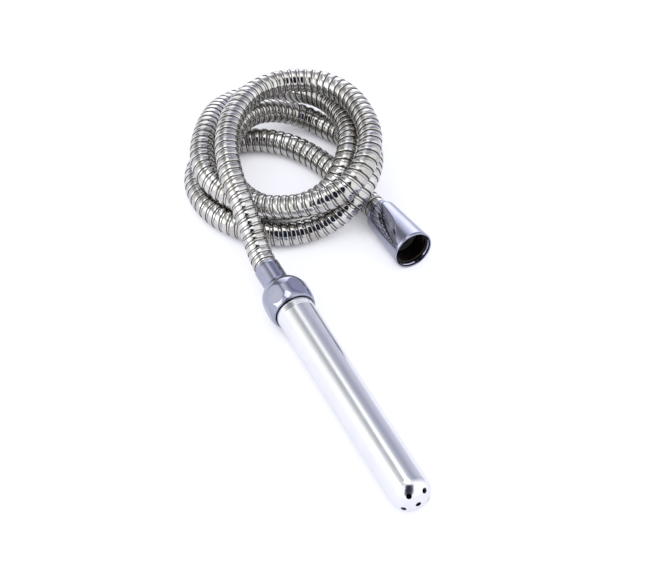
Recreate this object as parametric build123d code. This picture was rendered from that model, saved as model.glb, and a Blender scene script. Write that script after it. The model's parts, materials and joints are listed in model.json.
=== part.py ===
from build123d import *
from math import cos, radians, sin, sqrt
import os

# Handheld bath sprayer: an aluminium spray wand on a coiled, stripwound shower hose.
#
# Millimetres, +Z up. The wand lies along -Y on the line x = 0, z = 0. The origin is on that line,
# at the wand's rear shoulder, where it meets the hex nut. The hex nut, the mouth of the conical nut
# and the lowest turns of the hose rest on a table at z = TABLE_Z.
#
# Both hose ends are drawn in a "fitting frame": Z is the fitting's axis, pointing out of the hose,
# and z = 0 is the sealing face of the flanged insert.

TABLE_Z = -13.7

# G 1/2 pipe thread, drawn as plain cylinders: nuts at the major, the spigot at the minor diameter
THREAD_MAJOR_D = 20.955
THREAD_MINOR_D = 18.631

# Spray wand
WAND_D = 22.0
WAND_LENGTH = 148.0
WAND_BORE_D = 15.0
NOSE_CORNER_R = 9.5
SPIGOT_LENGTH = 9.0
SPIGOT_RELIEF = 1.2
REAR_CHAMFER = 0.5
REAR_GROOVES = 3
REAR_GROOVE_PITCH = 1.1
REAR_GROOVE_DEPTH = 0.25
SPRAY_HOLE_D = 3.0
RING_HOLES = 5
RING_HOLE_TILT = 40.0
RING_HOLE_PHASE = 270.0

# Hex nut
HEX_ACROSS_FLATS = 26.0
HEX_TURN = -22.0
HEX_FRONT_D = 24.8
HEX_FRONT_BEND_Z = 5.0
HEX_DOME_R = 13.7
HEX_DOME_CENTRE_Z = 1.0
HEX_MOUTH_D = 22.6
HEX_MOUTH_DEPTH = 1.2

# Conical nut
CONE_LENGTH = 36.0
CONE_MOUTH_D = 23.8
CONE_REAR_D = 18.8
CONE_REAR_FILLET = 4.5
CONE_MOUTH_BEVEL = 0.5
CONE_MOUTH_Z = 14.0
CONE_LEAD_IN_D = 21.9
CONE_LEAD_IN_DEPTH = 1.5
CONE_TURN = 4.0
CONE_TILT = 3.6
CONE_MOUTH_X = 80.5
CONE_MOUTH_Y = 15.0

# Fittings, the same at both hose ends
NUT_RECESS_D = 18.2
NUT_RECESS_TOP = 2.0
NUT_SHOULDER_Z = -3.65
NUT_REAR_HOLE_D = 15.6
FLANGE_D = 17.8
FLANGE_T = 2.0
NECK_D = 12.0
COLLAR_D = 13.8
COLLAR_TOP = -9.2
COLLAR_T = 1.8
TAIL_D = 7.7
TAIL_END = -21.0
BARB_DEPTH = 0.35
BARB_PITCH = 2.2
BARBS = 3
INSERT_BORE_D = 5.6
RING_T = 1.6
RUNNING_GAP = 0.05
WASHER_D = 18.0
WASHER_BORE_D = 11.0
WASHER_T = 2.0
FERRULE_D = 15.0
FERRULE_BORE_D = 14.1
FERRULE_TOP = -8.1
FERRULE_LIP = 1.0
FERRULE_END = -25.0
FERRULE_BEAD_R = 0.35
CRIMP_D = 11.2
CRIMP_TOP = -11.6
CRIMP_END = -16.6

# Hose
CONDUIT_D = 14.0
CONDUIT_BORE_D = 12.2
CONDUIT_TOP = -17.0
LINER_D = 10.0
LINER_BORE_D = 7.8
LINER_TOP = -11.2
FLEX_GAP = 2.0
# Flex joints of the lead, measured along the hose from the end of the wand's ferrule
FLEX_STATIONS = (14.0, 30.0, 46.0, 62.0)
LEAD_NAMES = ("at_wand", "lead_lower", "lead_middle", "lead_upper", "coil")

# How the hose lies: points on its centre line, as (x, y, height above the table), from the wand's
# ferrule, up over the coil, round three and a half turns, and down to the conical nut's ferrule.
HOSE_LEAD = ((2, 67, 26), (4, 93, 36), (18, 126, 40))
FIRST_TURN = (
    (31, 140, 39), (49, 150, 37), (76, 145, 37), (91, 119, 39), (91, 102, 40),
    (80, 71, 41), (59, 56, 35), (26, 67, 23), (4, 91, 19), (-3, 108, 22),
)
SECOND_TURN = (
    (13, 148, 22), (42, 173, 11), (65, 171, 11), (86, 142, 21), (86, 113, 26),
    (76, 89, 29), (57, 73, 20), (28, 81, 9), (13, 107, 9), (16, 127, 19),
)
THIRD_TURN = (
    (23, 135, 23), (41, 147, 22), (70, 146, 11), (89, 120, 8), (89, 86, 22),
    (65, 58, 22), (43, 56, 11), (10, 70, 7.5), (-8, 104, 7.1), (2, 135, 7.1),
)
HOSE_TAIL = ((29, 144, 7.1), (58, 124, 8), (73, 83, 7.3))

os.makedirs("parts", exist_ok=True)


def frame_at(origin, z_dir, x_dir=(1, 0, 0)):
    """A plane used as a placing frame."""
    return Plane(origin=origin, x_dir=x_dir, z_dir=z_dir)


def turned(*edges):
    """A solid of revolution about Z, from a closed outline of edges drawn as (radius, z)."""
    outline = edges[0]
    for edge in edges[1:]:
        outline = outline + edge
    return revolve(Plane.XZ * make_face(outline), Axis.Z)


def ring(outer_d, inner_d, bottom, top):
    """A plain ring about Z between two heights."""
    outer_r = outer_d / 2
    inner_r = inner_d / 2
    corners = [(inner_r, bottom), (outer_r, bottom), (outer_r, top), (inner_r, top)]
    return turned(Polyline(*corners, close=True))


def rod(diameter, bottom, top):
    """A plain cylinder about Z between two heights."""
    return Pos(0, 0, bottom) * extrude(Circle(diameter / 2), top - bottom)


WAND_FRAME = frame_at((0, 0, 0), (0, -1, 0))
HEX_FRAME = frame_at((0, SPIGOT_LENGTH + WASHER_T, 0), (0, -1, 0))

CONE_DIRECTION = Vector(
    sin(radians(CONE_TURN)) * cos(radians(CONE_TILT)),
    -cos(radians(CONE_TURN)) * cos(radians(CONE_TILT)),
    sin(radians(CONE_TILT)),
)
# The conical nut lies on its side, so its mouth's rim touches the table
CONE_MOUTH_HEIGHT = TABLE_Z + CONE_MOUTH_D / 2 * cos(radians(CONE_TILT))
CONE_MOUTH = Vector(CONE_MOUTH_X, CONE_MOUTH_Y, CONE_MOUTH_HEIGHT)
CONE_FRAME = frame_at(
    CONE_MOUTH - CONE_DIRECTION * CONE_MOUTH_Z,
    CONE_DIRECTION,
    (cos(radians(CONE_TURN)), sin(radians(CONE_TURN)), 0),
)


# ------------------------------------------------------------------ spray wand

def wand_body():
    """One turned piece: threaded spigot, barrel, rounded nose with spray holes, one long bore."""
    wand_r = WAND_D / 2
    spigot_r = THREAD_MINOR_D / 2
    nose_flat = wand_r - NOSE_CORNER_R
    nose_start = WAND_LENGTH - NOSE_CORNER_R
    slant = NOSE_CORNER_R * sqrt(0.5)
    body = turned(
        Polyline(
            (0, WAND_LENGTH),
            (0, -SPIGOT_LENGTH),
            (spigot_r - REAR_CHAMFER, -SPIGOT_LENGTH),
            (spigot_r, -SPIGOT_LENGTH + REAR_CHAMFER),
            (spigot_r, -SPIGOT_RELIEF),
            (spigot_r - REAR_CHAMFER, -SPIGOT_RELIEF),
            (spigot_r - REAR_CHAMFER, 0),
            (wand_r - REAR_CHAMFER, 0),
            (wand_r, REAR_CHAMFER),
            (wand_r, nose_start),
        ),
        ThreePointArc(
            (wand_r, nose_start),
            (nose_flat + slant, nose_start + slant),
            (nose_flat, WAND_LENGTH),
        ),
        Line((nose_flat, WAND_LENGTH), (0, WAND_LENGTH)),
    )
    bore_r = WAND_BORE_D / 2
    inner_corner = bore_r - nose_flat
    inner_slant = inner_corner * sqrt(0.5)
    body -= turned(
        Polyline(
            (0, nose_start + inner_corner),
            (0, -SPIGOT_LENGTH),
            (bore_r, -SPIGOT_LENGTH),
            (bore_r, nose_start),
        ),
        ThreePointArc(
            (bore_r, nose_start),
            (nose_flat + inner_slant, nose_start + inner_slant),
            (nose_flat, nose_start + inner_corner),
        ),
        Line((nose_flat, nose_start + inner_corner), (0, nose_start + inner_corner)),
    )
    for index in range(REAR_GROOVES):
        middle = 2 * REAR_CHAMFER + (index + 1) * REAR_GROOVE_PITCH
        half = REAR_GROOVE_DEPTH
        groove = [
            (wand_r - REAR_GROOVE_DEPTH, middle),
            (wand_r + half, middle - 2 * half),
            (wand_r + half, middle + 2 * half),
        ]
        body -= turned(Polyline(*groove, close=True))
    body -= rod(SPRAY_HOLE_D, nose_start, WAND_LENGTH + 1)
    for index in range(RING_HOLES):
        around = RING_HOLE_PHASE + index * 360 / RING_HOLES
        drill = rod(SPRAY_HOLE_D, 0, 2 * NOSE_CORNER_R)
        drill = Pos(nose_flat, 0, nose_start) * Rot(0, RING_HOLE_TILT, 0) * drill
        body -= Rot(0, 0, around) * drill
    return WAND_FRAME * body


# ------------------------------------------------------------------ nuts

def nut_bore(mouth_z, rear_z):
    """What is cut out of either nut: thread, recess for washer, flange and thrust ring, rear hole."""
    thread = rod(THREAD_MAJOR_D, NUT_RECESS_TOP, mouth_z + 1)
    recess = rod(NUT_RECESS_D, NUT_SHOULDER_Z, NUT_RECESS_TOP)
    rear_hole = rod(NUT_REAR_HOLE_D, rear_z - 1, NUT_SHOULDER_Z)
    return thread + recess + rear_hole


def hex_nut():
    """Barrel-shaped nut with six short flats, a domed rear and a shallow mouth for the wand."""
    front = SPIGOT_LENGTH + WASHER_T
    corner_r = HEX_ACROSS_FLATS / sqrt(3)
    rear_r = NUT_REAR_HOLE_D / 2 + 0.6
    rear = HEX_DOME_CENTRE_Z - sqrt(HEX_DOME_R**2 - rear_r**2)
    dome_slant = HEX_DOME_R * sqrt(0.5)
    envelope = turned(
        Polyline((0, rear), (0, front), (HEX_FRONT_D / 2, front)),
        TangentArc(
            (HEX_DOME_R, HEX_FRONT_BEND_Z),
            (HEX_FRONT_D / 2, front),
            tangent=(0, 1),
        ),
        Line((HEX_DOME_R, HEX_FRONT_BEND_Z), (HEX_DOME_R, HEX_DOME_CENTRE_Z)),
        ThreePointArc(
            (HEX_DOME_R, HEX_DOME_CENTRE_Z),
            (dome_slant, HEX_DOME_CENTRE_Z - dome_slant),
            (rear_r, rear),
        ),
        Line((rear_r, rear), (0, rear)),
    )
    prism = extrude(RegularPolygon(corner_r, 6), 4 * corner_r)
    nut = envelope & (Pos(0, 0, -2 * corner_r) * Rot(0, 0, HEX_TURN) * prism)
    nut -= nut_bore(front, rear)
    nut -= rod(HEX_MOUTH_D, front - HEX_MOUTH_DEPTH, front + 1)
    return HEX_FRAME * nut


def cone_nut():
    """Conical nut: wide at the threaded mouth, narrow and well rounded at the rear."""
    rear = CONE_MOUTH_Z - CONE_LENGTH
    mouth_r = CONE_MOUTH_D / 2
    rear_r = CONE_REAR_D / 2
    bevel = CONE_MOUTH_BEVEL
    bend = CONE_REAR_FILLET
    slant = bend * sqrt(0.5)
    nut = turned(
        Polyline(
            (0, rear),
            (0, CONE_MOUTH_Z),
            (mouth_r - bevel, CONE_MOUTH_Z),
            (mouth_r, CONE_MOUTH_Z - bevel),
            (rear_r, rear + bend),
        ),
        ThreePointArc(
            (rear_r, rear + bend),
            (rear_r - bend + slant, rear + bend - slant),
            (rear_r - bend, rear),
        ),
        Line((rear_r - bend, rear), (0, rear)),
    )
    nut -= nut_bore(CONE_MOUTH_Z, rear)
    lead_in_r = CONE_LEAD_IN_D / 2
    thread_r = THREAD_MAJOR_D / 2
    lead_in_end = CONE_MOUTH_Z - CONE_LEAD_IN_DEPTH
    nut -= turned(
        Polyline(
            (0, CONE_MOUTH_Z + 1),
            (0, lead_in_end - (lead_in_r - thread_r)),
            (thread_r, lead_in_end - (lead_in_r - thread_r)),
            (lead_in_r, lead_in_end),
            (lead_in_r, CONE_MOUTH_Z + 1),
            close=True,
        )
    )
    return CONE_FRAME * nut


# ------------------------------------------------------------------ parts of a hose end

def insert(frame):
    """Flanged tail: the flange seals, the neck carries nut and thrust ring, the liner grips the barbs."""
    tail_r = TAIL_D / 2
    body = ring(FLANGE_D, INSERT_BORE_D, -FLANGE_T, 0)
    body += ring(NECK_D, INSERT_BORE_D, COLLAR_TOP, -FLANGE_T)
    body += ring(COLLAR_D, INSERT_BORE_D, COLLAR_TOP - COLLAR_T, COLLAR_TOP)
    body += ring(TAIL_D, INSERT_BORE_D, TAIL_END, COLLAR_TOP - COLLAR_T)
    for index in range(BARBS):
        crest = TAIL_END + (index + 1) * BARB_PITCH
        notch = [
            (tail_r + 0.1, crest),
            (tail_r - BARB_DEPTH, crest),
            (tail_r + 0.1, crest - BARB_PITCH * 0.8),
        ]
        body -= turned(Polyline(*notch, close=True))
    return frame * body


def thrust_ring(frame):
    """Low-friction ring between the nut's shoulder and the back of the flange."""
    bottom = NUT_SHOULDER_Z + RUNNING_GAP
    outer_d = NUT_RECESS_D - 2 * RUNNING_GAP
    inner_d = NECK_D + 2 * RUNNING_GAP
    return frame * ring(outer_d, inner_d, bottom, bottom + RING_T - RUNNING_GAP)


def washer(frame):
    """Flat seal on the flange."""
    return frame * ring(WASHER_D, WASHER_BORE_D, RUNNING_GAP, WASHER_T - RUNNING_GAP)


def crimp_sleeve(frame):
    """Sleeve squeezed over the liner and the insert's tail."""
    return frame * ring(CRIMP_D, LINER_D, CRIMP_END, CRIMP_TOP)


def ferrule(frame):
    """Smooth outer sleeve: its lip hooks behind the insert's collar, its skirt grips the conduit."""
    outer_r = FERRULE_D / 2
    body = turned(
        Polyline(
            (NECK_D / 2 + RUNNING_GAP, FERRULE_TOP),
            (outer_r - FERRULE_BEAD_R, FERRULE_TOP),
            (outer_r, FERRULE_TOP - FERRULE_BEAD_R),
            (outer_r, FERRULE_END + FERRULE_BEAD_R),
            (outer_r - FERRULE_BEAD_R, FERRULE_END),
            (FERRULE_BORE_D / 2, FERRULE_END),
            (FERRULE_BORE_D / 2, FERRULE_TOP - FERRULE_LIP),
            (NECK_D / 2 + RUNNING_GAP, FERRULE_TOP - FERRULE_LIP),
            close=True,
        )
    )
    return frame * body


# ------------------------------------------------------------------ hose

def on_axis(frame, z):
    """The point at height z on a fitting's axis."""
    return frame.origin + frame.z_dir * z


def hose_curve():
    """The hose's centre line between the two ferrules, leaving each one square."""
    lie = HOSE_LEAD + FIRST_TURN + SECOND_TURN + THIRD_TURN + HOSE_TAIL
    points = [on_axis(HEX_FRAME, FERRULE_END)]
    points += [(x, y, TABLE_Z + height) for x, y, height in lie]
    points.append(on_axis(CONE_FRAME, FERRULE_END))
    ends = [-HEX_FRAME.z_dir, CONE_FRAME.z_dir]
    return Spline(*points, tangents=ends, tangent_scalars=[1, 1]).edges()[0]


def tube(path, outer_d, inner_d):
    """A hollow tube along a path."""
    start = Plane(origin=path.position_at(0), z_dir=path.tangent_at(0))
    return sweep(start * (Circle(outer_d / 2) - Circle(inner_d / 2)), path=path)


def hose_paths(curve, top):
    """The centre lines of the hose's sections, wand end first. Both ends run into their fittings."""
    length = curve.length
    cuts = [0.0]
    for station in FLEX_STATIONS:
        cuts += [(station - FLEX_GAP / 2) / length, (station + FLEX_GAP / 2) / length]
    cuts.append(1.0)
    paths = [Wire([curve.trim(a, b)]) for a, b in zip(cuts[::2], cuts[1::2])]
    wand_stub = Edge.make_line(on_axis(HEX_FRAME, top), on_axis(HEX_FRAME, FERRULE_END))
    cone_stub = Edge.make_line(on_axis(CONE_FRAME, FERRULE_END), on_axis(CONE_FRAME, top))
    paths[0] = Wire([wand_stub] + list(paths[0].edges()))
    paths[-1] = Wire(list(paths[-1].edges()) + [cone_stub])
    return paths


# ------------------------------------------------------------------ write one file per piece

def save(name, shape):
    export_step(shape, f"parts/{name}.step")


save("wand_body", wand_body())
save("wand_washer", washer(HEX_FRAME))
save("hex_nut", hex_nut())
save("cone_nut", cone_nut())
save("supply_washer", washer(CONE_FRAME))

for end, frame in (("wand_end", HEX_FRAME), ("supply_end", CONE_FRAME)):
    save(f"{end}_insert", insert(frame))
    save(f"{end}_thrust_ring", thrust_ring(frame))
    save(f"{end}_crimp_sleeve", crimp_sleeve(frame))
    save(f"{end}_ferrule", ferrule(frame))

centre_line = hose_curve()
for name, path in zip(LEAD_NAMES, hose_paths(centre_line, CONDUIT_TOP)):
    save(f"conduit_{name}", tube(path, CONDUIT_D, CONDUIT_BORE_D))
for name, path in zip(LEAD_NAMES, hose_paths(centre_line, LINER_TOP)):
    save(f"liner_{name}", tube(path, LINER_D, LINER_BORE_D))
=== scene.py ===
"""The looks of the handheld bath sprayer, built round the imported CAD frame.

Metres, in the frame's own axes: the wand lies along -Y, +Z is up. Places come from the frame's
boxes, joints and mounts. A piece that is round about an axis is drawn about Z and then stood on
that axis, with z = 0 at the flange face of the hose end that it belongs to.
"""

import json
from math import atan2, cos, radians, sin, sqrt, tau

import bpy
import numpy as np
from mathutils import Matrix, Vector
from mathutils.bvhtree import BVHTree


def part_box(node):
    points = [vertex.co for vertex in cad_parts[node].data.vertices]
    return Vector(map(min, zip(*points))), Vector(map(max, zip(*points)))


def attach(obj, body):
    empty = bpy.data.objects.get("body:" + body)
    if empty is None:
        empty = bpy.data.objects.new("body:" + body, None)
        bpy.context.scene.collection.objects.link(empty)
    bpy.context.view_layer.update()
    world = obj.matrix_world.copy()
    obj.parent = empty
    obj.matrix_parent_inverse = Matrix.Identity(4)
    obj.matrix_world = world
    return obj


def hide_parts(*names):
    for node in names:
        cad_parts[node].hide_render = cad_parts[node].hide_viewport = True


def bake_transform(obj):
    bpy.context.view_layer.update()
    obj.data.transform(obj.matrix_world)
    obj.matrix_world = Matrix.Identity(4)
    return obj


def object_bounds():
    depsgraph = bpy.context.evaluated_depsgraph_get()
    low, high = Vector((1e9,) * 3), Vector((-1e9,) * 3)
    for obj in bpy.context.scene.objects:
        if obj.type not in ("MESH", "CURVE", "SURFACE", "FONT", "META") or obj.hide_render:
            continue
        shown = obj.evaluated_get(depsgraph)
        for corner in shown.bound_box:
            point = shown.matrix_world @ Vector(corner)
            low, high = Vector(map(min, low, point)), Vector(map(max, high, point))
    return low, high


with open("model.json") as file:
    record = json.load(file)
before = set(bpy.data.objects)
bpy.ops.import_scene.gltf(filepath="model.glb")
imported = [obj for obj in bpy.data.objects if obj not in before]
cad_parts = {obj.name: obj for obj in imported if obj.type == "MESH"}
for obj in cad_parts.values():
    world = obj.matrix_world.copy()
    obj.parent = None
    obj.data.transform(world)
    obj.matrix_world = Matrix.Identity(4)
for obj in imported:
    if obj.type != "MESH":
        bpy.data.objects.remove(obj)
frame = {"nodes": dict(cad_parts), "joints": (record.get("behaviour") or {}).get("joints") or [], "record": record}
cad_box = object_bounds()

MM = 0.001
joints = {joint["name"]: joint for joint in frame["joints"]}
mounts = {mount["name"]: mount for mount in frame["record"]["mounts"]}

SMOOTH_ANGLE = radians(40)

# Camera: the direction it looks from, and how far its aim is from the wand's rear shoulder
CAMERA_AZIMUTH = radians(-25.6)
CAMERA_ELEVATION = radians(46.5)
CAMERA_DISTANCE = 1.302
CAMERA_LENS_MM = 132.0
AIM_RIGHT = 16.5 * MM
AIM_UP = 14.0 * MM

# Hose
CONDUIT_R = 7.0 * MM
CONDUIT_BORE = 12.2 * MM
STRIP_PITCH = 4.8 * MM
STRIP_STEPS = 48
PATH_STEP = 3.0 * MM
PATH_SPACING = 0.5 * MM
CURVE_STEPS = 8
BORE_TOLERANCE = 0.05 * MM
COIL_PIECES = 4
# Section of the strip the conduit is wound from: distance along the hose and radius, in mm.
# A domed crown, then a lower band that runs on under the next turn's crown.
STRIP_SECTION_MM = (
    (0.00, 6.50), (0.00, 6.66), (0.05, 6.78), (0.16, 6.87), (0.40, 6.94), (0.80, 6.985),
    (1.20, 7.00), (1.85, 7.00), (2.25, 6.985), (2.66, 6.93), (2.90, 6.84), (3.02, 6.72),
    (3.06, 6.60), (3.12, 6.42), (3.50, 6.33), (3.80, 6.40), (4.25, 6.42), (4.75, 6.40),
    (5.30, 6.34), (5.30, 6.18), (3.10, 6.16), (2.70, 6.50), (0.30, 6.50),
)
# The strip is made rougher and painted dark with shade below a radius beside its crown, and where the next turn
# covers it
SHADED_BELOW_MM = 6.76
SHADED_BELOW_RUN_MM = 0.1
CROWN_END_MM = 3.6
COVERED_FROM_MM = 4.4
COVERED_RUN_MM = 0.35

# Fittings, as radii and as heights over the flange face of the hose end's insert
THREAD_R = mounts["supply_thread"]["dims"]["r_mm"] * MM
NECK_HOLE_R = 7.8 * MM
RECESS_R = 9.1 * MM
RECESS_TOP = 2.0 * MM
SHOULDER_Z = -3.65 * MM
NUT_THREAD_START = 2.5 * MM

# The inside of either nut's outline, from its thread to its rear hole
NUT_BORE = (
    (THREAD_R, RECESS_TOP, 0), (RECESS_R, RECESS_TOP, 0), (RECESS_R, SHOULDER_Z, 0),
    (NECK_HOLE_R, SHOULDER_Z, 0.1 * MM),
)

# Hex nut: its dome's centre, where its barrel starts to narrow, its rim and its open mouth
HEX_DOME_CENTRE = 1.0 * MM
HEX_DOME_DEG = 53.0
HEX_DOME_STEPS = 24
HEX_BEND = 5.0 * MM
HEX_BEND_STEPS = 12
HEX_RIM_R = 12.4 * MM
HEX_LIP_R = 11.35 * MM
HEX_MOUTH_R = 11.3 * MM
HEX_MOUTH_DEPTH = 1.2 * MM
HEX_REAR_FACE = 0.6 * MM
HEX_THREAD_END = 9.4 * MM
FLAT_SOFTNESS = 0.35 * MM

# Conical nut
CONE_REAR_Z = -22.0 * MM
CONE_REAR_R = 9.4 * MM
CONE_REAR_BEND = 4.2 * MM
CONE_FRONT_Z = 14.0 * MM
CONE_FRONT_R = 11.9 * MM
CONE_MOUTH_R = 10.95 * MM
CONE_MOUTH_END = 12.5 * MM
CONE_THREAD_TOP = 12.0 * MM
CONE_THREAD_END = 11.6 * MM

# Ferrule, with a shallow rolled groove near its rear edge
FERRULE_R = 7.5 * MM
FERRULE_BORE_R = 7.08 * MM
FERRULE_LIP_R = 6.1 * MM
FERRULE_TOP = -8.1 * MM
FERRULE_LIP = 1.0 * MM
FERRULE_REAR = -25.0 * MM
FERRULE_GROOVE_R = 7.38 * MM
FERRULE_GROOVE_Z = -24.3 * MM
FERRULE_GROOVE_HALF = 0.2 * MM

# Wand's spigot
SPIGOT_R = 9.3155 * MM
SPIGOT_THREAD = (2.7 * MM, 9.4 * MM)

# Threads
THREAD_PITCH = 1.814 * MM
THREAD_STEPS = 64
THREAD_HEIGHT = 1.08 * MM
THREAD_ROOT_HALF = 0.62 * MM
THREAD_CREST_HALF = 0.16 * MM
THREAD_SUNK = 0.12 * MM


# ------------------------------------------------------------------ mesh helpers

def mesh_object(name, vertices, faces):
    """A new object from vertex places and faces, shaded smooth except over sharp edges."""
    mesh = bpy.data.meshes.new(name)
    mesh.from_pydata([tuple(v) for v in vertices], [], faces)
    mesh.validate()
    mesh.shade_smooth()
    mesh.set_sharp_from_angle(angle=SMOOTH_ANGLE)
    piece = bpy.data.objects.new(name, mesh)
    bpy.context.scene.collection.objects.link(piece)
    return piece


def grid_faces(rows, columns, close_rows):
    """Quads over a grid of points whose columns close on themselves, and whose rows may."""
    last = rows if close_rows else rows - 1
    faces = []
    for i in range(last):
        here = i * columns
        there = (i + 1) % rows * columns
        for k in range(columns):
            after = (k + 1) % columns
            faces.append((here + k, here + after, there + after, there + k))
    return faces


def placing(origin, axis):
    """The matrix that stands a piece drawn about Z on an axis."""
    turn = Vector((0, 0, 1)).rotation_difference(Vector(axis))
    return Matrix.Translation(Vector(origin)) @ turn.to_matrix().to_4x4()


def rounded(outline, arc_steps=6):
    """A closed outline of (radius, z, corner rounding) points, with each corner made an arc."""
    corners = [Vector(point[:2]) for point in outline]
    result = []
    for k, (_, _, rounding) in enumerate(outline):
        corner = corners[k]
        if rounding == 0:
            result.append(corner)
            continue
        back = corners[k - 1] - corner
        ahead = corners[(k + 1) % len(corners)] - corner
        half = back.angle(ahead) / 2
        reach = rounding / np.tan(half)
        reach = min(reach, 0.49 * back.length, 0.49 * ahead.length)
        a = corner + back.normalized() * reach
        b = corner + ahead.normalized() * reach
        for step in range(arc_steps + 1):
            t = step / arc_steps
            bulge = sqrt(0.5) / cos(radians(90) * (t - 0.5))
            weight_a = bulge * sin(radians(90) * (1 - t))
            weight_b = bulge * sin(radians(90) * t)
            total = weight_a + weight_b
            mid = (a * weight_a + b * weight_b) / total
            pull = 4 * t * (1 - t) * (1 - half / radians(90)) * 0.5
            result.append(mid.lerp(corner, pull))
    return result


def split_long(outline, longest):
    """The same closed outline, with its long edges divided."""
    result = []
    for k, point in enumerate(outline):
        after = outline[(k + 1) % len(outline)]
        pieces = max(1, int(np.ceil((after - point).length / longest)))
        result += [point.lerp(after, step / pieces) for step in range(pieces)]
    return result


def lathe(name, outline, place, around, trim=None):
    """A solid of revolution about Z from a closed outline, stood on its axis.

    trim(angle, radius, z) may change the radius, for flats."""
    count = len(outline)
    radius = np.array([point[0] for point in outline])
    height = np.array([point[1] for point in outline])
    angle = np.linspace(0, tau, around, endpoint=False)[:, None]
    radius = np.broadcast_to(radius, (around, count))
    if trim:
        radius = trim(angle, radius, height)
    places = np.stack([radius * np.cos(angle), radius * np.sin(angle),
                       np.broadcast_to(height, (around, count))], axis=-1)
    piece = mesh_object(name, places.reshape(-1, 3), grid_faces(around, count, True))
    face_outward(piece)
    piece.data.transform(place)
    return piece


def face_outward(piece):
    """Turns the faces of a closed mesh to the outside, judged by its signed volume."""
    mesh = piece.data
    volume = 0.0
    for polygon in mesh.polygons:
        volume += polygon.center.dot(polygon.normal) * polygon.area
    if volume < 0:
        mesh.flip_normals()


def wound(name, place, section, start, end, pitch, steps, fade=0.0):
    """A closed strip with the given section, wound as a right-handed screw along a path.

    place(along, angle, radius) gives places. Over the first and last fade turns the strip grows
    out of its lowest radius."""
    count = int(round((end - start) / pitch * steps))
    turn = np.linspace(start / pitch, end / pitch, count + 1)[:, None]
    offset = np.array([point[0] for point in section])
    radius = np.array([point[1] for point in section])
    radius = np.broadcast_to(radius, (count + 1, len(section)))
    if fade:
        ends = np.minimum(turn - turn[0], turn[-1] - turn) / fade
        foot = section[0][1]
        radius = foot + (radius - foot) * np.clip(ends, 0.02, 1)
    along = turn * pitch + offset
    angle = np.broadcast_to(tau * turn, along.shape)
    places = place(along, angle, radius)
    faces = grid_faces(count + 1, len(section), False)
    faces.append(tuple(reversed(range(len(section)))))
    faces.append(tuple(count * len(section) + k for k in range(len(section))))
    piece = mesh_object(name, places.reshape(-1, 3), faces)
    face_outward(piece)
    return piece


# ------------------------------------------------------------------ hose path

def bore_middles(node):
    """Points on a hose section's axis: middles of rays shot across the bore from its wall."""
    mesh = frame["nodes"][node].data
    places = np.zeros(len(mesh.vertices) * 3, np.float32)
    mesh.vertices.foreach_get("co", places)
    places = places.reshape(-1, 3)
    normals = np.zeros(len(mesh.loops) * 3, np.float32)
    mesh.corner_normals.foreach_get("vector", normals)
    corner_vertex = np.zeros(len(mesh.loops), np.int32)
    mesh.loops.foreach_get("vertex_index", corner_vertex)
    vertex_normals = np.zeros_like(places)
    vertex_normals[corner_vertex] = normals.reshape(-1, 3)
    tree = BVHTree.FromPolygons(places.tolist(), [tuple(p.vertices) for p in mesh.polygons])
    middles = []
    for place, normal in zip(places, vertex_normals):
        place = Vector(place)
        normal = Vector(normal)
        hit = tree.ray_cast(place + normal * MM, normal)[0]
        if hit and abs((hit - place).length - CONDUIT_BORE) < BORE_TOLERANCE:
            middles.append((place + hit) / 2)
    return middles


def follow(points, start, heading):
    """Walks along a cloud of centre points from a start, in even steps."""
    path = [np.array(start)]
    heading = np.array(heading)
    while True:
        ahead = path[-1] + heading * PATH_STEP
        near = points[np.linalg.norm(points - ahead, axis=1) < 0.8 * PATH_STEP]
        if not len(near):
            return path
        shift = (near - path[-1]) @ heading
        middle = near.mean(axis=0) + heading * (PATH_STEP - shift.mean())
        heading = (middle - path[-1]) / np.linalg.norm(middle - path[-1])
        path.append(middle)


def even_curve(points, spacing):
    """Points at an even spacing along a smooth curve through the given points."""
    points = np.array(points)
    padded = np.vstack([2 * points[0] - points[1], points, 2 * points[-1] - points[-2]])
    fine = []
    for k in range(1, len(padded) - 2):
        t = np.linspace(0, 1, CURVE_STEPS, endpoint=False)[:, None]
        a, b, c, d = padded[k - 1], padded[k], padded[k + 1], padded[k + 2]
        fine.append(0.5 * (2 * b + (c - a) * t + (2 * a - 5 * b + 4 * c - d) * t**2
                           + (3 * b - a - 3 * c + d) * t**3))
    fine = np.vstack(fine + [points[-1:]])
    length = np.r_[0, np.cumsum(np.linalg.norm(np.diff(fine, axis=0), axis=1))]
    even = np.linspace(0, length[-1], int(length[-1] / spacing) + 1)
    curve = np.stack([np.interp(even, length, fine[:, axis]) for axis in range(3)], axis=1)
    return even, curve


class HosePath:
    """The hose's centre line, with a frame that doesn't twist along it."""

    def __init__(self, points, lead_in):
        even, self.centre = even_curve(points, PATH_SPACING)
        self.station = even - lead_in
        tangent = np.gradient(self.centre, axis=0)
        tangent /= np.linalg.norm(tangent, axis=1)[:, None]
        side = np.cross(tangent[0], (0, 0, 1))
        self.side = []
        for direction in tangent:
            side = side - direction * (side @ direction)
            side /= np.linalg.norm(side)
            self.side.append(side)
        self.side = np.array(self.side)
        self.other = np.cross(tangent, self.side)

    def place(self, along, angle, radius):
        """Places at a distance along the hose, an angle round it and a radius."""
        def at(values):
            columns = [np.interp(along, self.station, values[:, axis]) for axis in range(3)]
            return np.stack(columns, axis=-1)

        sideways = at(self.side) * np.cos(angle)[..., None]
        upward = at(self.other) * np.sin(angle)[..., None]
        return at(self.centre) + (sideways + upward) * radius[..., None]

    def nearest(self, place):
        """The station on the hose nearest to a place."""
        return self.station[np.linalg.norm(self.centre - np.array(place), axis=1).argmin()]

    def point(self, station):
        """The centre line's place at a station."""
        return [np.interp(station, self.station, self.centre[:, axis]) for axis in range(3)]


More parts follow.
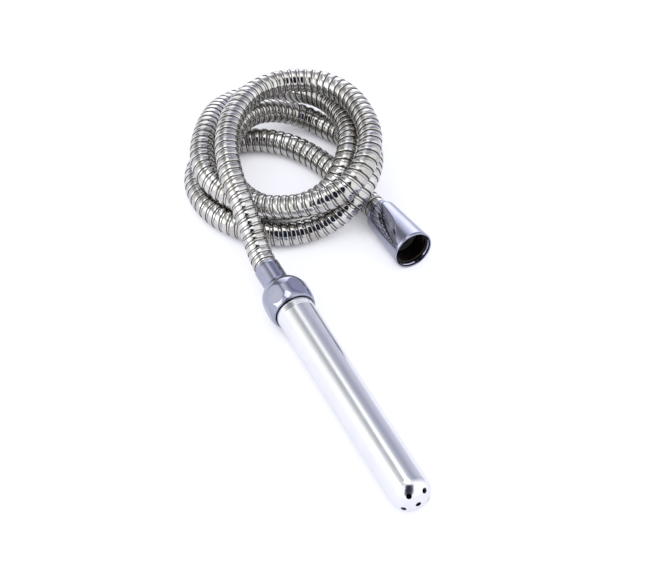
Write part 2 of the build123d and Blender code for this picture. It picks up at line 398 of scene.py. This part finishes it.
INSERT_FACE = Vector((0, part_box("wand_end_insert")[0].y, 0))
FERRULE_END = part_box("wand_end_ferrule")[1].y - INSERT_FACE.y
CONDUIT_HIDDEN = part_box("wand_end_ferrule")[1].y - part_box("conduit_at_wand")[0].y
CONE_ORIGIN = Vector(joints["cone_nut_swivel"]["pos_m"])
CONE_AXIS = Vector(joints["cone_nut_swivel"]["axis"])
HEX_PLACE = placing(INSERT_FACE, (0, -1, 0))
CONE_PLACE = placing(CONE_ORIGIN, CONE_AXIS)
HOSE_SECTIONS = ("conduit_at_wand", "conduit_lead_lower", "conduit_lead_middle",
                 "conduit_lead_upper", "conduit_coil")


def hose_path():
    """The conduit's path from inside the wand's ferrule to inside the supply end's ferrule."""
    cloud = []
    for node in HOSE_SECTIONS:
        cloud += bore_middles(node)
    start = INSERT_FACE + Vector((0, FERRULE_END, 0))
    walked = follow(np.array(cloud), start, (0, 1, 0))
    supply_end = CONE_ORIGIN - CONE_AXIS * FERRULE_END
    supply_tip = CONE_ORIGIN - CONE_AXIS * (FERRULE_END - CONDUIT_HIDDEN)
    while np.linalg.norm(walked[-1] - np.array(supply_end)) < PATH_STEP:
        walked.pop()
    wand_tip = start - Vector((0, CONDUIT_HIDDEN, 0))
    stub = [wand_tip.lerp(start, t) for t in (0, 0.5)]
    tail = [supply_end.lerp(supply_tip, t) for t in (0, 0.5, 1)]
    return HosePath([tuple(p) for p in stub + walked + tail], CONDUIT_HIDDEN)


# ------------------------------------------------------------------ material helpers

SMUDGE_SCALE = 90.0
CAVITY_ROUGHNESS = 0.3
METAL_BUMP = 0.02 * MM
MOULDED_BUMP = 0.05 * MM


def new_material(name):
    """A material with its node tree and its Principled shader."""
    material = bpy.data.materials.new(name)
    material.use_nodes = True
    return material, material.node_tree, material.node_tree.nodes["Principled BSDF"]


def add_node(tree, kind, inputs=None, **settings):
    """A node with settings; an input is a value, or another node's socket to link from."""
    node = tree.nodes.new(kind)
    for key, value in settings.items():
        setattr(node, key, value)
    for key, value in (inputs or {}).items():
        if isinstance(value, bpy.types.NodeSocket):
            tree.links.new(value, node.inputs[key])
        else:
            node.inputs[key].default_value = value
    return node


def stretched_noise(tree, coordinates, stretch, detail=4.0):
    """Noise whose grain is scaled separately along each axis."""
    mapping = add_node(tree, "ShaderNodeMapping", {"Vector": coordinates, "Scale": stretch})
    noise = add_node(tree, "ShaderNodeTexNoise", {
        "Vector": mapping.outputs["Vector"], "Scale": 1.0, "Detail": detail, "Roughness": 0.6})
    return noise.outputs["Fac"]


def ranged(tree, value, low, high, to_low, to_high):
    """A value carried from one range to another, and kept inside it."""
    node = add_node(tree, "ShaderNodeMapRange", {
        "Value": value, "From Min": low, "From Max": high, "To Min": to_low, "To Max": to_high})
    return node.outputs["Result"]


def blended(tree, factor, first, second):
    """A mix of two colours."""
    mix = add_node(tree, "ShaderNodeMix", {"Factor": factor}, data_type="RGBA")
    for socket, colour in ((mix.inputs[6], first), (mix.inputs[7], second)):
        if isinstance(colour, bpy.types.NodeSocket):
            tree.links.new(colour, socket)
        else:
            socket.default_value = (*colour, 1)
    return mix.outputs[2]


def object_coordinates(tree):
    """Coordinates in the object's own axes, in metres."""
    return add_node(tree, "ShaderNodeTexCoord").outputs["Object"]


def metal(name, light, dark, grain, grain_bump, roughness, attribute=None, recess_shade=None):
    """Metal with a directional grain, soft smudges and slightly uneven colour.

    grain is the noise scale along each axis, roughness its (lowest, highest) value, and
    attribute names a vector attribute to use instead of the object's coordinates. The last
    argument is the colour of the shade painted into the recesses that the mesh marks with an
    attribute of the same name as that argument; the marked recesses are also made rougher."""
    material, tree, shader = new_material(name)
    coordinates = object_coordinates(tree)
    grain_space = coordinates
    if attribute:
        marked = add_node(tree, "ShaderNodeAttribute", attribute_name=attribute)
        grain_space = marked.outputs["Vector"]
    fine = stretched_noise(tree, grain_space, grain, detail=3.0)
    smudges = stretched_noise(tree, coordinates, (SMUDGE_SCALE,) * 3, detail=5.0)
    uneven = add_node(tree, "ShaderNodeMath", {0: fine, 1: smudges}, operation="MULTIPLY")
    rough = ranged(tree, uneven.outputs[0], 0.12, 0.42, roughness[0], roughness[1])
    colour = blended(tree, ranged(tree, smudges, 0.35, 0.68, 0, 1), light, dark)
    # Painted shade: the recesses that the mesh marks are darkened towards a shade colour, and made rougher
    if recess_shade:
        recess_shading = add_node(tree, "ShaderNodeAttribute", attribute_name="recess_shade").outputs["Fac"]
        colour = blended(tree, recess_shading, colour, recess_shade)
        rougher = {0: recess_shading, 1: CAVITY_ROUGHNESS, 2: rough}
        rough = add_node(tree, "ShaderNodeMath", rougher, operation="MULTIPLY_ADD").outputs[0]
    bump = add_node(tree, "ShaderNodeBump", {
        "Height": fine, "Strength": grain_bump, "Distance": METAL_BUMP})
    tree.links.new(colour, shader.inputs["Base Color"])
    tree.links.new(rough, shader.inputs["Roughness"])
    tree.links.new(bump.outputs["Normal"], shader.inputs["Normal"])
    shader.inputs["Metallic"].default_value = 1.0
    return material


def moulded(name, light, dark, roughness, texture, bump_strength, translucent=0.0):
    """Rubber or plastic with a fine moulded texture and dusty, uneven colour."""
    material, tree, shader = new_material(name)
    coordinates = object_coordinates(tree)
    fine = stretched_noise(tree, coordinates, (texture,) * 3, detail=6.0)
    broad = stretched_noise(tree, coordinates, (texture / 12,) * 3)
    colour = blended(tree, ranged(tree, broad, 0.35, 0.7, 0, 1), light, dark)
    bump = add_node(tree, "ShaderNodeBump", {
        "Height": fine, "Strength": bump_strength, "Distance": MOULDED_BUMP})
    tree.links.new(colour, shader.inputs["Base Color"])
    tree.links.new(ranged(tree, fine, 0.3, 0.7, *roughness), shader.inputs["Roughness"])
    tree.links.new(bump.outputs["Normal"], shader.inputs["Normal"])
    shader.inputs["Subsurface Weight"].default_value = translucent
    shader.inputs["Subsurface Radius"].default_value = (MM, MM, MM)
    return material


def make_materials():
    """One material for each material slot of the record, and the nuts' bores and threads, dull and painted
    near-black as shade.
    """
    return {
        "aluminium": metal(
            "aluminium", light=(0.85, 0.86, 0.87), dark=(0.81, 0.815, 0.83),
            grain=(1500, 40, 1500), grain_bump=0.25, roughness=(0.14, 0.24)),
        "chrome": metal(
            "chrome", light=(0.405, 0.415, 0.515), dark=(0.35, 0.36, 0.455),
            grain=(260, 260, 260), grain_bump=0.05, roughness=(0.03, 0.10)),
        # The wound strip's seams get a painted dark shade through its marked recesses
        "stainless": metal(
            "stainless", light=(0.70, 0.695, 0.68), dark=(0.47, 0.45, 0.415),
            grain=(3500, 60, 3500), grain_bump=0.18, roughness=(0.06, 0.17),
            attribute="strip", recess_shade=(0.07, 0.065, 0.06)),
        "brass": metal(
            "brass", light=(0.80, 0.62, 0.36), dark=(0.62, 0.45, 0.25),
            grain=(400, 400, 1800), grain_bump=0.3, roughness=(0.22, 0.42)),
        "sleeve": metal(
            "sleeve", light=(0.70, 0.70, 0.69), dark=(0.58, 0.58, 0.56),
            grain=(900, 900, 900), grain_bump=0.3, roughness=(0.28, 0.45)),
        # The nuts' bores and threads: dull metal painted near-black as shade
        "shaded_inside": metal(
            "shaded_inside", light=(0.035, 0.028, 0.026), dark=(0.016, 0.013, 0.012),
            grain=(700, 700, 700), grain_bump=0.3, roughness=(0.25, 0.45)),
        "seal": moulded(
            "seal", light=(0.018, 0.018, 0.018), dark=(0.035, 0.034, 0.033),
            roughness=(0.55, 0.8), texture=1800, bump_strength=0.4),
        "nylon": moulded(
            "nylon", light=(0.85, 0.84, 0.80), dark=(0.78, 0.76, 0.70),
            roughness=(0.35, 0.5), texture=900, bump_strength=0.2, translucent=0.15),
        "liner": moulded(
            "liner", light=(0.55, 0.56, 0.54), dark=(0.47, 0.48, 0.46),
            roughness=(0.3, 0.45), texture=600, bump_strength=0.2, translucent=0.1),
    }


# ------------------------------------------------------------------ pieces

def paint(piece, *materials):
    """Gives a piece its materials, first the main one."""
    piece.data.materials.clear()
    for material in materials:
        piece.data.materials.append(material)


def paint_shaded_bore(piece, place, radius, rear, front):
    """Gives a nut's second material, painted near-black as shade, to its bore: faces within a radius that don't
    face outward.
    """
    back = place.inverted()
    for polygon in piece.data.polygons:
        centre = back @ polygon.center
        normal = back.to_3x3() @ polygon.normal
        across = Vector((centre.x, centre.y))
        outward = across.normalized().dot(Vector((normal.x, normal.y)))
        shaded_inside = across.length < radius and rear < centre.z < front and outward < 0.2
        polygon.material_index = int(shaded_inside)


def straight(place):
    """A place function for strips wound round a straight axis."""
    matrix = np.array(place)

    def at(along, angle, radius):
        local = np.stack([radius * np.cos(angle), radius * np.sin(angle), along], axis=-1)
        return local @ matrix[:3, :3].T + matrix[:3, 3]

    return at


def thread(name, place, root_radius, outward, start, end, shift):
    """A screw thread's ridge on a wall: outward from a spigot, or inward in a nut."""
    side = 1 if outward else -1
    sunk = root_radius - side * THREAD_SUNK
    crest = root_radius + side * THREAD_HEIGHT
    section = [(shift - THREAD_ROOT_HALF, sunk), (shift - THREAD_ROOT_HALF, root_radius),
               (shift - THREAD_CREST_HALF, crest), (shift + THREAD_CREST_HALF, crest),
               (shift + THREAD_ROOT_HALF, root_radius), (shift + THREAD_ROOT_HALF, sunk)]
    return wound(name, straight(place), section, start, end, THREAD_PITCH, THREAD_STEPS, fade=0.5)


materials = make_materials()


def mark_strip(piece, start):
    """Writes the strip's own coordinates on the mesh, and its recesses that get painted shade, for its material.
    """
    section = np.array(STRIP_SECTION_MM)
    count = len(piece.data.vertices) // len(section)
    turn = start / STRIP_PITCH + np.arange(count) / STRIP_STEPS
    run = np.repeat(turn * tau * CONDUIT_R, len(section))
    across = np.tile(section[:, 0] * MM, count)
    height = np.tile(section[:, 1] * MM, count)
    strip = piece.data.attributes.new("strip", "FLOAT_VECTOR", "POINT")
    strip.data.foreach_set("vector", np.stack([across, run, height], axis=1).ravel())
    # Painted shade: the strip below a radius beside its crown, and where the next turn covers it, is marked to be
    # darkened
    beside_crown = np.clip((SHADED_BELOW_MM - section[:, 1]) / SHADED_BELOW_RUN_MM, 0, 1)
    covered = np.clip((section[:, 0] - COVERED_FROM_MM) / COVERED_RUN_MM, 0, 1)
    shaded_recess = np.maximum(beside_crown * (section[:, 0] < CROWN_END_MM), covered)
    recess_shade = piece.data.attributes.new("recess_shade", "FLOAT", "POINT")
    recess_shade.data.foreach_set("value", np.tile(shaded_recess, count).astype(np.float32))


def conduit_piece(path, name, start, end):
    """A length of the wound conduit."""
    section = [(along * MM, radius * MM) for along, radius in STRIP_SECTION_MM]
    start, end = [round(station / STRIP_PITCH * STRIP_STEPS) * STRIP_PITCH / STRIP_STEPS
                  for station in (start, end)]
    piece = wound(name, path.place, section, start, end, STRIP_PITCH, STRIP_STEPS)
    mark_strip(piece, start)
    paint(piece, materials["stainless"])
    return piece


def make_conduit(path):
    """The whole conduit: a stub, four lengths cut around the lead's joints, and the coil."""
    overhang = max(along for along, _ in STRIP_SECTION_MM) * MM
    flex = ("lead_swing_near", "lead_swing_far", "lead_lift_near", "lead_lift_far")
    stations = [path.nearest(joints[name]["pos_m"]) for name in flex]
    spacing = (stations[-1] - stations[0]) / (len(stations) - 1)
    cuts = [station - (spacing + overhang) / 2 for station in stations]
    cuts.append(cuts[-1] + spacing)
    stub = conduit_piece(path, "hose_stub", -CONDUIT_HIDDEN, cuts[0])
    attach(stub, joints[flex[0]]["child"])
    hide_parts(HOSE_SECTIONS[0])
    for k, name in enumerate(flex):
        bend = conduit_piece(path, f"hose_bend_{k + 1}", cuts[k], cuts[k + 1])
        path.point(cuts[k] + overhang)
        path.point(cuts[k + 1])
        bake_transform(bend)
        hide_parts(HOSE_SECTIONS[k + 1])
    coil_end = path.station[-1] - overhang
    shares = np.linspace(cuts[-1], coil_end, COIL_PIECES + 1)
    for k in range(COIL_PIECES):
        turn = conduit_piece(path, f"hose_coil_{k + 1}", shares[k], shares[k + 1])
        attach(turn, "coil")
        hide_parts(HOSE_SECTIONS[-1])


def smooth_least(a, b, softness):
    """The smaller of two values, with the change from one to the other rounded off."""
    gap = np.clip(0.5 + 0.5 * (b - a) / softness, 0, 1)
    return b * (1 - gap) + a * gap - softness * gap * (1 - gap)


def hex_flats():
    """The hex nut's flats: one's direction about the nut's axis, and their distance from it."""
    back = HEX_PLACE.inverted()
    outer = [p for p in frame["nodes"]["hex_nut"].data.polygons
             if abs(p.normal.y) < 0.01 and (p.center - INSERT_FACE).dot(p.normal) > 0]
    flat = max(outer, key=lambda polygon: polygon.area)
    normal = back.to_3x3() @ flat.normal
    return atan2(normal.y, normal.x), (back @ flat.center).dot(normal)


def hex_outline(barrel_r, rear, front):
    """The hex nut's outline before its flats are cut, as (radius, z, corner rounding)."""
    outline = [
        (NECK_HOLE_R, rear, 0.2 * MM),
        (NECK_HOLE_R + HEX_REAR_FACE, rear, 0.15 * MM),
    ]
    for step in range(HEX_DOME_STEPS, -1, -1):
        tilt = radians(step / HEX_DOME_STEPS * HEX_DOME_DEG)
        across = barrel_r * cos(tilt)
        height = HEX_DOME_CENTRE - barrel_r * sin(tilt)
        if across > NECK_HOLE_R + 0.3 * MM and height > rear + 0.05 * MM:
            outline.append((across, height, 0))
    for step in range(HEX_BEND_STEPS):
        share = step / HEX_BEND_STEPS
        across = barrel_r - (barrel_r - HEX_RIM_R) * share**2
        outline.append((across, HEX_BEND + (front - HEX_BEND) * share, 0))
    outline += [
        (HEX_RIM_R, front, 0.3 * MM),
        (HEX_LIP_R, front, 0.2 * MM),
        (HEX_MOUTH_R, front - HEX_MOUTH_DEPTH, 0.05 * MM),
        (THREAD_R, front - HEX_MOUTH_DEPTH - 0.1 * MM, 0.1 * MM),
    ]
    return outline + list(NUT_BORE)


def make_hex_nut():
    """The hex nut: a barrel with a domed rear and six short, softened flats."""
    low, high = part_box("hex_nut")
    front = INSERT_FACE.y - low.y
    rear = INSERT_FACE.y - high.y
    vertices = frame["nodes"]["hex_nut"].data.vertices
    barrel_r = max(Vector((vertex.co.x, vertex.co.z)).length for vertex in vertices)
    turn, apothem = hex_flats()
    points = split_long(rounded(hex_outline(barrel_r, rear, front)), 0.35 * MM)

    def flats(angle, radius, height):
        off = (angle - turn + radians(30)) % radians(60) - radians(30)
        flat = apothem / np.cos(off)
        milled = smooth_least(radius, np.broadcast_to(flat, radius.shape), FLAT_SOFTNESS)
        return np.where(radius > apothem - 0.6 * MM, milled, radius)

    nut = lathe("hex_nut_shell", points, HEX_PLACE, around=360, trim=flats)
    ridge = thread("hex_nut_thread", HEX_PLACE, THREAD_R, False, NUT_THREAD_START,
                   HEX_THREAD_END, THREAD_PITCH / 2)
    finish_nut(nut, ridge, HEX_PLACE, rear + MM, front - MM, "hex_nut")


def make_cone_nut():
    """The conical nut, with a softly rounded rear, a bevelled mouth and its thread."""
    outline = [
        (NECK_HOLE_R, CONE_REAR_Z, 0.3 * MM),
        (CONE_REAR_R, CONE_REAR_Z, CONE_REAR_BEND),
        (CONE_FRONT_R, CONE_FRONT_Z, 0.45 * MM),
        (CONE_MOUTH_R, CONE_FRONT_Z, 0.25 * MM),
        (CONE_MOUTH_R, CONE_MOUTH_END, 0.1 * MM),
        (THREAD_R, CONE_THREAD_TOP, 0.1 * MM),
    ]
    outline += NUT_BORE
    points = split_long(rounded(outline, arc_steps=12), 1.5 * MM)
    nut = lathe("cone_nut_shell", points, CONE_PLACE, around=256)
    ridge = thread("cone_nut_thread", CONE_PLACE, THREAD_R, False, NUT_THREAD_START,
                   CONE_THREAD_END, 0.0)
    finish_nut(nut, ridge, CONE_PLACE, CONE_REAR_Z + MM, CONE_MOUTH_END + 0.1 * MM, "cone_nut")


def finish_nut(nut, ridge, place, rear, front, node):
    """Paints a nut and its thread, and hangs them on the body that has the node's name.

    The bore between the heights rear and front is dull and painted near-black as shade, like the thread."""
    # The nut's bore and thread get the near-black painted shade
    paint(nut, materials["chrome"], materials["shaded_inside"])
    paint_shaded_bore(nut, place, THREAD_R + 0.05 * MM, rear, front)
    paint(ridge, materials["shaded_inside"])
    for piece in (nut, ridge):
        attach(piece, node)
    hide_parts(node)


def make_ferrule(name, node, body, place):
    """A plain sleeve over the hose's end, with a shallow rolled groove near its rear edge."""
    outline = [
        (FERRULE_LIP_R, FERRULE_TOP, 0.1 * MM),
        (FERRULE_R, FERRULE_TOP, 0.5 * MM),
        (FERRULE_R, FERRULE_GROOVE_Z + FERRULE_GROOVE_HALF, 0.1 * MM),
        (FERRULE_GROOVE_R, FERRULE_GROOVE_Z, 0.1 * MM),
        (FERRULE_R, FERRULE_GROOVE_Z - FERRULE_GROOVE_HALF, 0.1 * MM),
        (FERRULE_R, FERRULE_REAR, 0.22 * MM),
        (FERRULE_BORE_R, FERRULE_REAR, 0.15 * MM),
        (FERRULE_BORE_R, FERRULE_TOP - FERRULE_LIP, 0),
        (FERRULE_LIP_R, FERRULE_TOP - FERRULE_LIP, 0),
    ]
    sleeve = lathe(name, split_long(rounded(outline), 1.5 * MM), place, around=160)
    paint(sleeve, materials["chrome"])
    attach(sleeve, body)
    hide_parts(node)


def make_wand_thread():
    """The thread on the wand's spigot."""
    start, end = SPIGOT_THREAD
    ridge = thread("wand_thread", HEX_PLACE, SPIGOT_R, True, start, end, 0.0)
    paint(ridge, materials["aluminium"])
    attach(ridge, "wand")


def paint_cad_nodes():
    """Gives each CAD node that still shows the material of its slot in the record."""
    slots = {part["node"]: part["material_slot"] for part in frame["record"]["subparts"]}
    for node, piece in frame["nodes"].items():
        if not piece.hide_render:
            paint(piece, materials[slots[node]])


# ------------------------------------------------------------------ studio

# The room's light by how far a direction leans from straight up, towards +X, in degrees
ROOM_OVER_DEG = (
    (-180, (0.86, 0.88, 0.92)), (-100, (0.96, 0.98, 1.01)), (-70, (1.18, 1.19, 1.20)),
    (-52, (1.16, 1.17, 1.17)), (-40, (0.84, 0.85, 0.87)), (-27, (0.53, 0.55, 0.58)),
    (-20, (0.42, 0.44, 0.47)), (-13, (0.64, 0.65, 0.69)), (-6, (1.10, 1.11, 1.12)),
    (4, (1.10, 1.11, 1.12)), (12, (0.64, 0.65, 0.75)), (21, (0.43, 0.45, 0.55)),
    (38, (0.36, 0.37, 0.48)), (60, (0.56, 0.56, 0.70)), (85, (0.70, 0.70, 0.84)),
    (120, (0.78, 0.78, 0.90)), (180, (0.86, 0.86, 0.92)),
)
# The same for the wall behind the object
ROOM_BACK_DEG = (
    (-180, (0.95, 0.95, 1.02)), (-75, (1.00, 1.00, 1.08)), (-45, (0.32, 0.33, 0.35)),
    (-10, (0.34, 0.35, 0.36)), (12, (1.00, 1.01, 1.12)), (60, (2.30, 2.31, 2.45)),
    (180, (1.10, 1.10, 1.18)),
)
ROOM_FRONT = (1.22, 1.23, 1.26)
ROOM_SEEN = (1.05, 1.05, 1.05)
# Where the back wall and the front start, as ranges of a direction's share along Y
BACK_EDGE = (0.66, 0.76)
FRONT_EDGE = (-0.1, 0.3)
FLOOR_HALF = 2.5
# The white table glows softly, so that it is white in the open and shaded under the coil. What the
# metal mirrors is shaded more deeply than what the camera sees.
FLOOR_SEEN_COLOUR = (0.40, 0.405, 0.49)
FLOOR_UNSEEN_COLOUR = (0.76, 0.76, 0.82)
FLOOR_GLOW = (0.20, 0.64)
# How near a thing has to be to shade the glow, and the open shares of sky that are dark and lit
FLOOR_SHADE_REACH = 30 * MM
FLOOR_SHADE = (0.05, 0.40)
# Softboxes: name, azimuth and elevation in degrees, size in metres, watts
SOFTBOXES = (
    ("overhead", -150, 74, 0.6, 1.6),
    ("left", -105, 28, 0.7, 2.5),
)
SOFTBOX_DISTANCE = 1.3


def direction(azimuth, elevation):
    """The unit vector from the object towards a compass direction and height."""
    return Vector((sin(azimuth) * cos(elevation), -cos(azimuth) * cos(elevation), sin(elevation)))


def glow(name, colour):
    """A plain light-giving material."""
    material = bpy.data.materials.new(name)
    material.use_nodes = True
    tree = material.node_tree
    tree.nodes.clear()
    emission = add_node(tree, "ShaderNodeEmission", {"Color": (*colour, 1), "Strength": 1.0})
    output = add_node(tree, "ShaderNodeOutputMaterial")
    tree.links.new(emission.outputs[0], output.inputs["Surface"])
    return material


def facing(out, distance):
    """The matrix that puts a thing at a distance in a direction, facing the object."""
    return Matrix.Translation(out * distance) @ out.to_track_quat("Z", "Y").to_matrix().to_4x4()


def card(name, azimuth, elevation, width, height, colour, distance):
    """A flat card that only reflections see."""
    corners = [(-width / 2, -height / 2, 0), (width / 2, -height / 2, 0),
               (width / 2, height / 2, 0), (-width / 2, height / 2, 0)]
    piece = mesh_object(name, corners, [(0, 1, 2, 3)])
    piece.matrix_world = facing(direction(radians(azimuth), radians(elevation)), distance)
    paint(piece, glow(name, colour))
    piece.visible_camera = False
    piece.visible_diffuse = False
    piece.visible_shadow = False


def make_floor(height):
    """A seamless white table, lit to white, with faintly lilac shade."""
    corners = [(-FLOOR_HALF, -FLOOR_HALF, height), (FLOOR_HALF, -FLOOR_HALF, height),
               (FLOOR_HALF, FLOOR_HALF, height), (-FLOOR_HALF, FLOOR_HALF, height)]
    floor = mesh_object("floor", corners, [(0, 1, 2, 3)])
    material, tree, shader = new_material("floor")
    seen = add_node(tree, "ShaderNodeLightPath").outputs["Is Camera Ray"]
    colour = blended(tree, seen, FLOOR_UNSEEN_COLOUR, FLOOR_SEEN_COLOUR)
    sky = add_node(tree, "ShaderNodeAmbientOcclusion", {"Distance": FLOOR_SHADE_REACH})
    open_share = ranged(tree, sky.outputs["AO"], *FLOOR_SHADE, 0, 1)
    shaded = {0: ranged(tree, seen, 0, 1, *FLOOR_GLOW), 1: open_share}
    glow_strength = add_node(tree, "ShaderNodeMath", shaded, operation="MULTIPLY")
    tree.links.new(colour, shader.inputs["Base Color"])
    tree.links.new(glow_strength.outputs[0], shader.inputs["Emission Strength"])
    shader.inputs["Roughness"].default_value = 0.9
    shader.inputs["Specular IOR Level"].default_value = 0.0
    shader.inputs["Emission Color"].default_value = (1.0, 1.0, 1.0, 1)
    paint(floor, material)


def colour_stops(tree, value, stops):
    """Colours at places along a value's range, run together between them."""
    low = stops[0][0]
    high = stops[-1][0]
    ramp = add_node(tree, "ShaderNodeValToRGB", {"Fac": ranged(tree, value, low, high, 0, 1)})
    elements = ramp.color_ramp.elements
    for _ in stops[2:]:
        elements.new(0.5)
    for element, (place, shade) in zip(elements, stops):
        element.position = (place - low) / (high - low)
        element.color = (*shade, 1)
    return ramp.outputs["Color"]


def make_world():
    """The room: white panels up and to the left, a lilac grey wall right, and a bright front."""
    world = bpy.data.worlds.new("room")
    bpy.context.scene.world = world
    world.use_nodes = True
    tree = world.node_tree
    tree.nodes.clear()
    coordinates = add_node(tree, "ShaderNodeTexCoord").outputs["Generated"]
    axes = add_node(tree, "ShaderNodeSeparateXYZ", {"Vector": coordinates}).outputs
    lean = add_node(tree, "ShaderNodeMath", {0: axes["X"], 1: axes["Z"]}, operation="ARCTAN2")
    in_degrees = add_node(tree, "ShaderNodeMath", {0: lean.outputs[0]}, operation="DEGREES")
    over = colour_stops(tree, in_degrees.outputs[0], ROOM_OVER_DEG)
    back = colour_stops(tree, in_degrees.outputs[0], ROOM_BACK_DEG)
    far = blended(tree, ranged(tree, axes["Y"], *BACK_EDGE, 0, 1), over, back)
    colour = blended(tree, ranged(tree, axes["Y"], *FRONT_EDGE, 0, 1), ROOM_FRONT, far)
    seen = add_node(tree, "ShaderNodeLightPath").outputs["Is Camera Ray"]
    colour = blended(tree, seen, colour, ROOM_SEEN)
    background = add_node(tree, "ShaderNodeBackground", {"Color": colour, "Strength": 1.0})
    output = add_node(tree, "ShaderNodeOutputWorld")
    tree.links.new(background.outputs[0], output.inputs["Surface"])


def soft_light(name, azimuth, elevation, size, watts):
    """A square softbox aimed at the object."""
    light = bpy.data.lights.new(name, "AREA")
    light.size = size
    light.energy = watts
    lamp = bpy.data.objects.new(name, light)
    lamp.matrix_world = facing(direction(radians(azimuth), radians(elevation)), SOFTBOX_DISTANCE)
    bpy.context.scene.collection.objects.link(lamp)


def make_studio():
    """Floor, room, softboxes, and a dark card behind the camera that the metal mirrors."""
    make_floor(cad_box[0].z)
    make_world()
    for softbox in SOFTBOXES:
        soft_light(*softbox)
    card("photographer", azimuth=-26, elevation=47, width=1.30, height=1.90,
         colour=(0.010, 0.014, 0.040), distance=1.6)


def make_camera():
    """The camera, looking down at the wand's nose from a little to its left."""
    data = bpy.data.cameras.new("camera")
    data.lens = CAMERA_LENS_MM
    data.clip_start = 0.05
    camera = bpy.data.objects.new("camera", data)
    bpy.context.scene.collection.objects.link(camera)
    back = direction(CAMERA_AZIMUTH, CAMERA_ELEVATION)
    right = Vector((cos(CAMERA_AZIMUTH), sin(CAMERA_AZIMUTH), 0))
    up = back.cross(right)
    aim = right * AIM_RIGHT + up * AIM_UP
    camera.location = aim + back * CAMERA_DISTANCE
    camera.rotation_mode = "QUATERNION"
    camera.rotation_quaternion = back.to_track_quat("Z", "Y")
    bpy.context.scene.camera = camera


path = hose_path()
make_conduit(path)
make_hex_nut()
make_cone_nut()
make_ferrule("wand_ferrule_shell", "wand_end_ferrule", "wand_end", HEX_PLACE)
make_ferrule("supply_ferrule_shell", "supply_end_ferrule", "coil", CONE_PLACE)
make_wand_thread()
paint_cad_nodes()
make_studio()
make_camera()
bpy.context.scene.view_settings.view_transform = "Standard"
